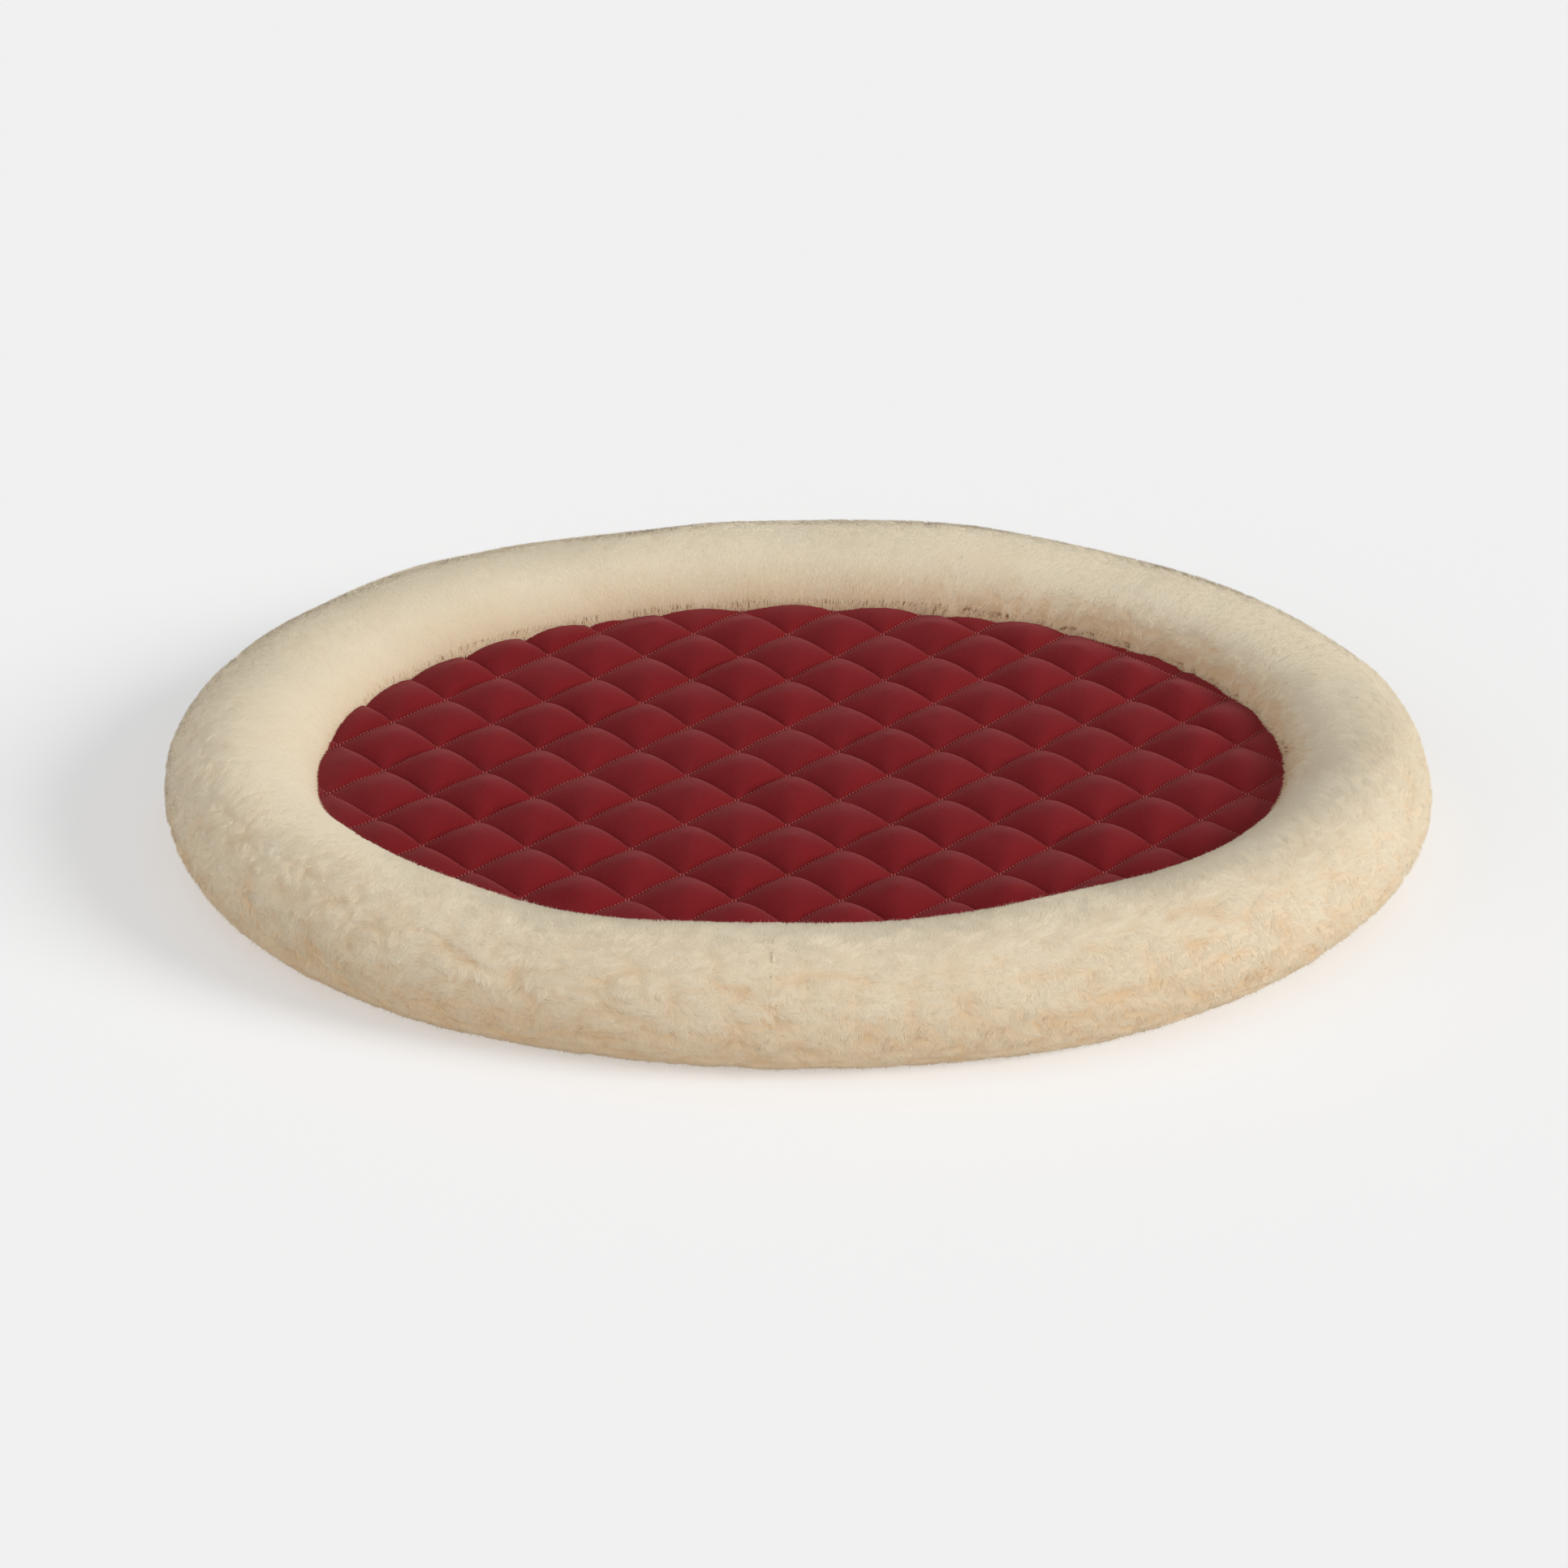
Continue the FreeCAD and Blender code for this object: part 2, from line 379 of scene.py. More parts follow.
canvas = cloth_material(
    "burgundy_canvas",
    dark=(0.085, 0.010, 0.013),
    light=(0.16, 0.02, 0.026),
    threads=700.0,
    angle=0.0,
    depth=0.4 * MM,
    roughness=0.8,
    sheen=0.15,
    sheen_tint=(0.8, 0.5, 0.5),
)
base_low, base_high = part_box("base_cloth")
BASE_CLOTH_EDGE = base_high[0] - OVAL_END


def layered_oval(edge, profile, step):
    """Points of a flat oval layer: rings from its middle out, as a list of (share of the way, height)."""
    angles = even_angles(0, 2 * np.pi, step)[:-1]
    x, y, _, _ = oval(angles, edge)
    rings = [np.stack([x * share, y * share, np.full_like(x, height)], 1) for share, height in profile]
    return np.concatenate(rings), len(profile), len(angles)


def oval_solid(name, edge, bottom, top, roundness, material, step=6 * MM):
    """A closed oval layer with a softly rounded edge."""
    middle, half = (bottom + top) / 2, (top - bottom) / 2
    width = OVAL_END + edge
    profile = [(0.02, bottom)]
    profile += [(share, bottom) for share in np.linspace(0.15, 1 - 1.3 * roundness / width, 8)]
    for turn in np.linspace(-90, 90, 9):
        share = 1 - roundness / width * (1 - math.cos(math.radians(turn)))
        profile.append((share, middle + half * math.sin(math.radians(turn))))
    profile += [(share, top) for share in np.linspace(1 - 1.3 * roundness / width, 0.15, 8)]
    profile += [(0.02, top)]
    points, rows, columns = layered_oval(edge, profile, step)
    faces = [tuple(q) for q in grid_faces(rows, columns, wrap_columns=True)]
    faces.append(tuple(range(columns))[::-1])
    faces.append(tuple((rows - 1) * columns + k for k in range(columns)))
    return new_piece(name, points, faces, material)


base_cloth = oval_solid(
    "underside_canvas", BASE_CLOTH_EDGE, base_low[2], base_high[2], base_high[2] - base_low[2], canvas
)
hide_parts("base_cloth")


def seam_round(name, node, outward, height, material):
    """A seam that follows the oval, as single stitches."""
    angles = even_angles(0, 2 * np.pi, SEAM_STITCH)
    x, y, _, _ = oval(angles, outward)
    points = np.stack([x, y, height(x, y)], 1)
    gap = 0.12
    starts = points[:-1] * (1 - gap) + points[1:] * gap
    ends = points[:-1] * gap + points[1:] * (1 - gap)
    lifts = np.tile([0.0, 0.0, 1.0], (len(starts), 1))
    vertices, faces, lit = stitch_row(starts, ends, lifts, radius=SEAM_THREAD_RADIUS, dip=0.3 * MM)
    piece = new_piece(name, vertices, faces, material)
    paint(piece, lit)
    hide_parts(node)


cream_thread = thread_material("cream_thread", (0.72, 0.63, 0.48), (0.9, 0.85, 0.75))
seam_low, seam_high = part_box("base_seam_thread")
seam_round(
    "underside_seam_stitches",
    "base_seam_thread",
    seam_high[0] - OVAL_END - SEAM_THREAD_RADIUS,
    lambda x, y: np.full_like(x, (seam_low[2] + seam_high[2]) / 2),
    cream_thread,
)


# ---------------------------------------------------------------------------------------------
# Cushion pad: bonded white fibre, cut to the oval, with soft rounded edges. It lies loose
# between the base cloth and the quilted panel.
# ---------------------------------------------------------------------------------------------
def fibre_material(name, colour, depth):
    """Matted fibre: soft fluffy bumps with fine strands over them."""
    material, tree, shader = new_material(name)
    shader.inputs["Roughness"].default_value = 0.95
    shader.inputs["Sheen Weight"].default_value = 0.4
    fluff = noise(tree, object_place(tree), 260.0, 8.0, 1.5)
    # Painted shade: the fibre is coloured darker in the dips between its fluffy bumps.
    between = tuple(0.82 * c for c in colour)
    feed(tree, shader.inputs["Base Color"], blend(tree, fluff, between, colour))
    relief(tree, fluff, 0.8, depth)
    return material


white_fibre = fibre_material("white_fibre", (0.86, 0.86, 0.83), 2 * MM)
pad_low, pad_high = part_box("base_pad")
CUSHION_EDGE = pad_high[0] - OVAL_END
pad = oval_solid("cushion_pad", CUSHION_EDGE, pad_low[2], pad_high[2], 9 * MM, white_fibre)
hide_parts("base_pad")


# ---------------------------------------------------------------------------------------------
# Quilted panel: burgundy cotton twill over fibre wadding over a lining cotton, sewn together in
# squares at 45 degrees. The stitching pulls the rows down and the wadding puffs each square.
# ---------------------------------------------------------------------------------------------
SQUARE = 40 * MM
CROSSING = (-5 * MM, 48.5 * MM)
PUFF = 9.8 * MM
ROW_HEIGHT = 33 * MM
ROW_RISE = 5 * MM
ROW_SAG = 0.9 * MM
PANEL_HALF_X, PANEL_HALF_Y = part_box("quilt_face")[1][:2]
SQUARES_EACH_WAY = int(math.ceil((PANEL_HALF_X + PANEL_HALF_Y) / SQUARE / math.sqrt(2))) + 2


def row_height(x, y):
    """Height of the quilting rows: the cushion is a little lower in its middle."""
    return ROW_HEIGHT + ROW_RISE * ((x / PANEL_HALF_X) ** 2 + (y / PANEL_HALF_Y) ** 2)


def from_squares(a, b):
    """Where a place lies that is counted in squares from one crossing of the rows."""
    x = (a - b) * SQUARE / math.sqrt(2) + CROSSING[0]
    y = (a + b) * SQUARE / math.sqrt(2) + CROSSING[1]
    return x, y


def quilt_places(cells):
    """Lines that run with the squares, this many to a square, closer together at the stitches."""
    inside = np.arange(cells) / cells
    inside = inside - 0.055 * np.sin(4 * np.pi * inside) - 0.035 * np.sin(2 * np.pi * inside)
    reach = SQUARES_EACH_WAY
    return np.concatenate([k + inside for k in range(-reach, reach)] + [[reach]])


def soft_noise(place, scales, seed, octaves=3):
    """Smooth random values between about -1 and 1: random numbers on a turned grid, blended."""
    rng = np.random.default_rng(seed)
    place = place / np.asarray(scales)
    total, weight = 0.0, 0.0
    for octave in range(octaves):
        table = rng.uniform(-1, 1, (128, 128))
        turn = rng.uniform(0, np.pi)
        u = (place[..., 0] * math.cos(turn) + place[..., 1] * math.sin(turn)) * 2.0**octave
        v = (place[..., 1] * math.cos(turn) - place[..., 0] * math.sin(turn)) * 2.0**octave
        i, j = np.floor(u).astype(int), np.floor(v).astype(int)
        f, g = u - i, v - j
        f, g = f**3 * (f * (6 * f - 15) + 10), g**3 * (g * (6 * g - 15) + 10)
        low = table[i % 128, j % 128] * (1 - f) + table[(i + 1) % 128, j % 128] * f
        high = table[i % 128, (j + 1) % 128] * (1 - f) + table[(i + 1) % 128, (j + 1) % 128] * f
        total = total + 0.5**octave * (low * (1 - g) + high * g)
        weight += 0.5**octave * 0.75
    return total / weight


def quilt_height(x, y, puff=PUFF):
    """Height of the quilted surface, puffed up between the rows."""
    a = ((x - CROSSING[0]) + (y - CROSSING[1])) / (SQUARE * math.sqrt(2))
    b = ((y - CROSSING[1]) - (x - CROSSING[0])) / (SQUARE * math.sqrt(2))
    rng = np.random.default_rng(7)
    tall = rng.uniform(0.85, 1.12, (64, 64))
    lean = rng.uniform(-0.10, 0.10, (2, 64, 64))
    ia, ib = np.floor(a).astype(int) % 64, np.floor(b).astype(int) % 64
    fa, fb = a - np.floor(a), b - np.floor(b)
    # The wadding is pushed away from the row sewn last, so each square is fullest near one side.
    fa = fa ** (1.24 + lean[0, ia, ib])
    fb = fb ** (0.90 + lean[1, ia, ib])
    ridge_a = np.maximum(1 - np.abs(2 * fa - 1), 1e-4) ** np.where(fa > 0.5, 0.5, 0.85)
    ridge_b = np.maximum(1 - np.abs(2 * fb - 1), 1e-4)
    roof = 1.26 * (ridge_a**-3 + ridge_b**-3) ** (-1 / 3)
    round_top = np.clip(np.sin(np.pi * fa) * np.sin(np.pi * fb), 0, 1)
    dome = 0.62 * roof**0.85 + 0.38 * round_top**0.6
    place = np.stack([x, y], -1)
    dome = dome + 0.05 * round_top * soft_noise(place, (16 * MM, 16 * MM), 8, 2)
    ex, ey, _, _ = oval(np.arctan2(y / OVAL_Y, x / OVAL_X), -ROLL_HALF_WIDTH)
    to_edge = np.hypot(ex, ey) - np.hypot(x, y)
    pressed = 0.35 + 0.65 * np.clip(to_edge / (24 * MM), 0, 1)
    sag = np.sin(np.pi * (a % 1)) ** 2 + np.sin(np.pi * (b % 1)) ** 2
    pull = ROW_SAG * sag * np.clip(1 - dome, 0, 1)
    return row_height(x, y) + puff * pressed * dome * tall[ia, ib] + pull


def cut_to_oval(x, y, edge):
    """Moves points outside the oval onto it, and says which were inside."""
    angle = np.arctan2(y / OVAL_Y, x / OVAL_X)
    for _ in range(6):
        ox, oy, _, _ = oval(angle, edge)
        turn = np.arctan2(y, x) - np.arctan2(oy, ox)
        angle = angle + (turn + np.pi) % (2 * np.pi) - np.pi
    ox, oy, _, _ = oval(angle, edge)
    inside = np.hypot(x, y) <= np.hypot(ox, oy)
    return np.where(inside, x, ox), np.where(inside, y, oy), inside


def quilt_layer(name, cells, puff, drop, edge, bottom, material):
    """One layer of the quilt: its puffed top, closed down to a flat or a parallel underside."""
    lines = quilt_places(cells)
    a, b = np.meshgrid(lines, lines, indexing="ij")
    x, y = from_squares(a, b)
    cx, cy, inside = cut_to_oval(x, y, edge)
    z = quilt_height(cx, cy, puff) - drop
    moved = np.hypot(cx - x, cy - y)
    kept = moved < 1.6 * SQUARE / cells
    quads = grid_faces(*z.shape)
    flat_in, flat_kept = inside.ravel(), kept.ravel()
    quads = quads[flat_in[quads].any(1) & flat_kept[quads].all(1)]
    top = np.stack([cx.ravel(), cy.ravel(), z.ravel()], 1)
    under = top.copy()
    under[:, 2] = bottom if bottom is not None else under[:, 2] - 0.8 * MM
    used = np.unique(quads)
    index = np.full(len(top), -1)
    index[used] = np.arange(len(used))
    quads = index[quads]
    count = len(used)
    edges = np.concatenate([quads[:, [k, (k + 1) % 4]] for k in range(4)])
    keys = edges[:, 0].astype(np.int64) * count + edges[:, 1]
    back = edges[:, 1].astype(np.int64) * count + edges[:, 0]
    rim = edges[~np.isin(keys, back)]
    sides = np.stack([rim[:, 1], rim[:, 0], rim[:, 0] + count, rim[:, 1] + count], 1)
    faces = np.concatenate([quads, quads[:, ::-1] + count, sides])
    vertices = np.concatenate([top[used], under[used]])
    return new_piece(name, vertices, faces.tolist(), material)


twill = cloth_material(
    "burgundy_twill",
    dark=(0.095, 0.002, 0.003),
    light=(0.22, 0.006, 0.009),
    threads=800.0,
    angle=0.35,
    depth=0.4 * MM,
    roughness=0.8,
    sheen=0.19,
    sheen_tint=(1.0, 0.38, 0.40),
)
quilt_face = quilt_layer("quilted_twill_face", 20, PUFF, 0.0, CUSHION_EDGE, None, twill)
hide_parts("quilt_face")

wadding_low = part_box("quilt_wadding")[0][2]
wadding = quilt_layer(
    "quilt_wadding_layer", 8, PUFF - 1.0 * MM, 1.3 * MM, CUSHION_EDGE, wadding_low, white_fibre
)
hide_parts("quilt_wadding")

lining = cloth_material(
    "lining_cotton",
    dark=(0.62, 0.58, 0.50),
    light=(0.78, 0.74, 0.66),
    threads=1500.0,
    angle=0.0,
    depth=0.1 * MM,
    roughness=0.9,
    sheen=0.1,
    sheen_tint=(0.9, 0.9, 0.85),
)
backing_low, backing_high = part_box("quilt_backing")
backing = oval_solid(
    "lining_sheet", CUSHION_EDGE, backing_low[2], backing_high[2], 0.5 * MM, lining
)
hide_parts("quilt_backing")


# ---------------------------------------------------------------------------------------------
# Quilting thread: lockstitch in a slightly lighter polyester thread, sixteen stitches to a side
# of a square, sunk between the puffed squares. Each stitch comes out of one needle hole and goes
# down the next.
# ---------------------------------------------------------------------------------------------
STITCHES = 16


def quilting_stitches():
    """Where each stitch on the panel comes up and goes down."""
    reach = SQUARES_EACH_WAY
    first = np.arange(-reach, reach)[:, None] + (np.arange(STITCHES) / STITCHES)[None]
    first = first.ravel()
    last = first + 1 / STITCHES
    gap = 0.2 / STITCHES
    starts, ends = [], []
    for row in range(-reach, reach + 1):
        for along_a in (True, False):
            s = np.stack([first + gap, np.full_like(first, row)], 1)
            e = np.stack([last - gap, np.full_like(first, row)], 1)
            if not along_a:
                s, e = s[:, ::-1], e[:, ::-1]
            starts.append(s)
            ends.append(e)
    starts, ends = np.concatenate(starts), np.concatenate(ends)

    def place(ab):
        x, y = from_squares(ab[:, 0], ab[:, 1])
        f = ab - np.floor(ab)
        pull = ROW_SAG * (np.sin(np.pi * f[:, 0]) ** 2 + np.sin(np.pi * f[:, 1]) ** 2)
        return np.stack([x, y, row_height(x, y) + pull + 0.35 * MM], 1)

    starts, ends = place(starts), place(ends)
    middle = (starts + ends) / 2
    _, _, inside = cut_to_oval(middle[:, 0], middle[:, 1], CUSHION_EDGE - 4 * MM)
    return starts[inside], ends[inside]


stitch_starts, stitch_ends = quilting_stitches()
burgundy_thread = thread_material("burgundy_thread", (0.50, 0.115, 0.10), (0.9, 0.5, 0.5))
stitch_lifts = np.tile([0.0, 0.0, 1.0], (len(stitch_starts), 1))
vertices, faces, lit = stitch_row(stitch_starts, stitch_ends, stitch_lifts, radius=0.42 * MM, dip=0.5 * MM)
quilting = new_piece("quilting_stitches", vertices, faces, burgundy_thread)
paint(quilting, lit)
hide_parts("quilting_thread")

panel_seam_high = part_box("panel_seam_thread")[1]
seam_round(
    "panel_seam_stitches",
    "panel_seam_thread",
    panel_seam_high[0] - OVAL_END - SEAM_THREAD_RADIUS,
    lambda x, y: quilt_height(x, y) + SEAM_THREAD_RADIUS,
    cream_thread,
)


# ---------------------------------------------------------------------------------------------
# Rim stuffing and hide: a round roll of fibre inside four lengths of tanned sheepskin, leather
# side in. The lengths are joined end to end, and each is sewn shut under the roll.
# ---------------------------------------------------------------------------------------------
WOOL_TOP = RIM_HIGH[2]
SECTIONS = {
    "back_right": (6.0, 72.0),
    "back_left": (72.0, 165.0),
    "front_left": (165.0, 268.0),
    "front_right": (268.0, 366.0),
}


def signed_power(value, power):
    return np.sign(value) * np.abs(value) ** power


def outline(phi, half_width, bottom, top, fullness):
    """Across the roll: how far out and up a full rounded outline lies, from the outside over the top."""
    out = half_width * signed_power(np.cos(phi), 2 / fullness)
    up = (bottom + top) / 2 + (top - bottom) / 2 * signed_power(np.sin(phi), 2 / fullness)
    return out, up


def closed_band(name, grid, material):
    """A closed length of the roll's wall, from rows of points that each run round its thickness."""
    rows, width = grid.shape[:2]
    faces = grid_faces(rows, width, wrap_columns=True).tolist()
    faces.append(list(range(width)))
    faces.append([(rows - 1) * width + k for k in range(width)][::-1])
    piece = new_piece(name, grid.reshape(-1, 3), faces, material)
    # The cut ends of a length meet its sides at a sharp edge.
    piece.data.polygons[-1].use_smooth = False
    piece.data.polygons[-2].use_smooth = False
    return piece


def band(name, theta, outside, inside, material):
    """A length of the roll's wall between an outer line and an inner line across it. Each line is
    a function of a grid of angles round the oval, and gives how far out and up it is."""
    rings = []
    for line, count, backwards in (outside + (False,), inside + (True,)):
        place = np.linspace(0, 1, count)
        tt, pp = np.meshgrid(theta, place[::-1] if backwards else place, indexing="ij")
        out, up = line(tt, pp)
        x, y, _, _ = oval(tt, out)
        rings.append(np.stack([x, y, up], -1))
    return closed_band(name, np.concatenate(rings, 1), material)


HIDE_BOTTOM, HIDE_TOP = [corner[2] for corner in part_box("rim_hide_front_left")]
HIDE_HALF_WIDTH = 31.5 * MM
HIDE_FULLNESS = 2.3
HIDE_THICKNESS = 1.2 * MM
HIDE_STARTS = math.radians(-97)
HIDE_TURNS = math.radians(357)

filling_low, filling_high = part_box("rim_filling")
theta = even_angles(0, 2 * np.pi, 6 * MM)[:-1]
phi = np.linspace(0, 2 * np.pi, 41)[:-1]
tt, pp = np.meshgrid(theta, phi, indexing="ij")
inset = HIDE_THICKNESS + 0.4 * MM
out, up = outline(pp, HIDE_HALF_WIDTH - inset, filling_low[2], filling_high[2], HIDE_FULLNESS)
squeeze = 1 - 0.012 * (1 + np.sin(9 * tt + 2 * pp)) - 0.008 * (1 + np.sin(31 * tt - 3 * pp))
middle = (HIDE_BOTTOM + HIDE_TOP) / 2
x, y, _, _ = oval(tt, out * squeeze)
stuffing_points = np.stack([x, y, middle + (up - middle) * squeeze], -1).reshape(-1, 3)
stuffing_faces = grid_faces(len(theta), len(phi), wrap_rows=True, wrap_columns=True).tolist()
stuffing = new_piece("rim_stuffing", stuffing_points, stuffing_faces, white_fibre)
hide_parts("rim_filling")

suede, tree, shader = new_material("tanned_hide")
shader.inputs["Roughness"].default_value = 0.9
shader.inputs["Sheen Weight"].default_value = 0.3
grain = noise(tree, object_place(tree), 180.0, 6.0)
feed(tree, shader.inputs["Base Color"], blend(tree, grain, (0.62, 0.48, 0.33), (0.76, 0.64, 0.48)))
relief(tree, grain, 0.5, 0.4 * MM)


def hide_line(inset):
    """The hide's outline this far inside its wool side, from one selvedge under the roll to the other."""

    def line(theta, place):
        phi = HIDE_STARTS + place * HIDE_TURNS
        return outline(phi, HIDE_HALF_WIDTH - inset, HIDE_BOTTOM + inset, HIDE_TOP - inset, HIDE_FULLNESS)

    return line


for place, (first, last) in SECTIONS.items():
    theta = even_angles(math.radians(first) + 0.002, math.radians(last) - 0.002, 5 * MM)
    hide = band("hide_" + place, theta, (hide_line(0), 60), (hide_line(HIDE_THICKNESS), 60), suede)
    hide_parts("rim_hide_" + place)
    out, up = hide_line(0)(0, np.linspace(0, 1, 200))
    x, y, _, _ = oval(theta)

around = HIDE_STARTS + np.linspace(0, 1, 48) * HIDE_TURNS
starts, ends, lifts = [], [], []
for first, last in SECTIONS.values():
    out, up = outline(around, HIDE_HALF_WIDTH, HIDE_BOTTOM, HIDE_TOP, HIDE_FULLNESS)
    x, y, out_x, out_y = oval(np.full_like(around, math.radians(first)), out)
    points = np.stack([x, y, up], 1)
    away = out / HIDE_HALF_WIDTH
    lift = np.stack([away * out_x, away * out_y, (up - middle) / (HIDE_TOP - middle)], 1)
    across = np.stack([-out_y, out_x, 0 * out_x], 1) * 1.6 * MM
    slant = np.roll(points, -1, axis=0) - points
    starts.append((points - across)[:-1])
    ends.append((points + across + 0.3 * slant)[:-1])
    lifts.append(lift[:-1])
starts, ends, lifts = np.concatenate(starts), np.concatenate(ends), np.concatenate(lifts)
vertices, faces, lit = stitch_row(starts, ends, lifts, radius=0.35 * MM, dip=0.3 * MM)
section_seams = new_piece("section_seam_stitches", vertices, faces, cream_thread)
paint(section_seams, lit)
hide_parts("section_seam_thread")


# ---------------------------------------------------------------------------------------------
# Wool: it grows from the hide, so it goes round the roll with it. It is clipped even on top and
# left in short soft locks down the front, and it stands over the seams and hides them.
# ---------------------------------------------------------------------------------------------
# The dense wool lies this far inside its clipped tips, and the roll's own weight flattens it this much.
UNDER_TIPS = 1.9 * MM
FLATTENED = 4 * MM
WOOL_FULLNESS = 2.15
WOOL_GRID = 1.8 * MM
OVER_HIDE = 0.4 * MM
# The wool's edges, in degrees over the roll from straight out. The bulges are listed as degrees round
# the oval and millimetres.
INNER_EDGE = 178
OUTER_EDGE = -97
BULGES = ((73, 2.2), (107, -1.8), (129, 1.8), (198, -2.2), (250, -3.0), (297, 3.0))


def roll_section(theta, phi, shrink):
    """The clipped wool's outline, or a line this far inside it. The roll is a little fuller behind
    than in front, and unevenly stuffed, so it bulges in places."""
    for place, size in BULGES:
        off = (theta - math.radians(place) + np.pi) % (2 * np.pi) - np.pi
        shrink = shrink - size * MM * np.exp(-((off / 0.2) ** 2))
    outside = np.clip(0.5 + 0.9 * np.cos(phi), 0, 1)
    shrink = shrink - 1.3 * MM * np.sin(theta) - 1.6 * MM * outside * np.cos(theta) ** 2
    turned = theta - math.radians(212)
    slack = 1.0 + 5.0 * np.cos(theta) + 2.0 * np.cos(turned) + 2.0 * np.cos(2 * turned)
    shrink = shrink + (1 - outside) * slack * MM
    half_width = ROLL_HALF_WIDTH - shrink
    return outline(phi, half_width, -FLATTENED, WOOL_TOP - shrink, WOOL_FULLNESS)


def section_angles(first, last, step, shrink):
    """Angles over the roll, between two in degrees, whose points lie evenly along its outline."""
    fine = np.linspace(math.radians(first), math.radians(last), 1500)
    out, up = roll_section(0.0 * fine, fine, shrink)
    run = np.concatenate([[0], np.cumsum(np.hypot(np.diff(out), np.diff(up)))])
    count = int(round(run[-1] / step))
    return np.interp(np.linspace(0, run[-1], count + 1), run, fine)


def roll_points(theta, phi, shrink):
    """Points of the roll, with three directions there: straight out of it, along it and over it."""
    out, up = roll_section(theta, phi, shrink)
    nearby, above = roll_section(theta, phi + 0.002, shrink)
    along_out, along_up = nearby - out, above - up
    length = np.maximum(np.hypot(along_out, along_up), 1e-9)
    n_out, n_up = along_up / length, -along_out / length
    x, y, out_x, out_y = oval(theta, out)
    points = np.stack([x, y, np.maximum(up, 0.4 * MM)], -1)
    normals = np.stack([n_out * out_x, n_out * out_y, n_up + 0 * x], -1)
    along = np.stack([-out_y, out_x, 0 * x], -1)
    return points, normals, along, np.cross(normals, along)


def nearest_lock(place, scales, seed):
    """The lock of wool each point belongs to: its distance, the way to its middle, and its own lean."""
    rng = np.random.default_rng(seed)
    table = rng.uniform(-1, 1, (64, 64, 4))
    warp = np.stack([soft_noise(place, np.array(scales) * 1.2, seed + k, 2) for k in (1, 2)], -1)
    grid = place / np.asarray(scales) + 0.35 * warp
    cell = np.floor(grid)
    best = np.full(grid.shape[:-1], 9.0)
    way = np.zeros(grid.shape)
    lean = np.zeros(grid.shape)
    for step_u in (-1, 0, 1):
        for step_v in (-1, 0, 1):
            other = cell + np.array([step_u, step_v])
            pick = table[other[..., 0].astype(int) % 64, other[..., 1].astype(int) % 64]
            offset = other + 0.5 + 0.42 * pick[..., :2] - grid
            distance = np.linalg.norm(offset, axis=-1)
            nearer = distance < best
            best = np.where(nearer, distance, best)
            way = np.where(nearer[..., None], offset, way)
            lean = np.where(nearer[..., None], pick[..., 2:], lean)
    return best, way, lean


def skin_place(theta, phi):
    """Where a point lies on the hide laid flat: along the roll and across it, in metres."""
    return np.stack([theta * OVAL_SIZE, phi * ROLL_HALF_WIDTH], -1)


def collar_place(place):
    """The same place with the skins laid in a ring, so nothing broad changes where the ring closes."""
    theta, reach = place[..., 0] / OVAL_SIZE, OVAL_SIZE + place[..., 1]
    return np.stack([reach * np.cos(theta), reach * np.sin(theta)], -1)


def curliness(theta, phi):
    """How far the wool falls into locks: little on the top, more down the front."""
    down_outside = np.clip((1.65 - phi) / 0.9, 0, 1)
    front = np.clip(0.42 - 0.75 * np.sin(theta), 0.10, 1.0)
    inner_right = np.clip((phi - 1.9) / 0.6, 0, 1) * np.clip(1.6 * np.cos(theta - 0.4) - 0.7, 0, 0.7)
    return down_outside * front + inner_right


LARGE_LOCK = (17 * MM, 9 * MM)
SMALL_LOCK = (7 * MM, 5 * MM)


def wool_relief(place, curl):
    """How much the wool stands out or sinks in, and how much painted shade it gets: in the hollows between
    locks, down the inner wall and low on the outside, with a little random tone.
    """
    large, _, _ = nearest_lock(place, LARGE_LOCK, 40)
    small, _, _ = nearest_lock(place, SMALL_LOCK, 60)
    rolling = soft_noise(collar_place(place), (100 * MM, 100 * MM), 3, 2)
    soft = soft_noise(place, (26 * MM, 20 * MM), 4)
    crease = np.clip(large, 0, 0.9) ** 2
    raised = rolling + 0.35 * soft - 1.6 * curl * crease
    raised = raised - (0.2 + 0.5 * curl) * np.clip(small, 0, 1) ** 2
    # Painted shade in the hollows between the locks, with a little random tone from the soft noise.
    painted_shade = curl * (0.95 * crease + 0.40 * small**2) + 0.10 * small**2 + 0.10 * soft
    theta, phi = place[..., 0] / OVAL_SIZE, place[..., 1] / ROLL_HALF_WIDTH
    # Painted shade: darker down the inner wall towards the panel, most on the right, and low on the
    # outside, most on the left.
    inner = (0.58 + 0.34 * np.cos(theta - 0.6)) * np.clip((phi - 2.15) / 0.7, 0, 1)
    shaded = inner + (0.42 - 0.18 * np.cos(theta)) * np.clip((0.35 - phi) / 0.5, 0, 1)
    return raised * MM, np.clip(painted_shade + shaded, 0, 1)


fleece, tree, shader = new_material("clipped_wool")
shader.inputs["Roughness"].default_value = 0.95
shader.inputs["Specular IOR Level"].default_value = 0.0
place = object_place(tree)
cream = blend(tree, noise(tree, place, 16.0, 4.0), (0.70, 0.612, 0.452), (0.745, 0.67, 0.53))
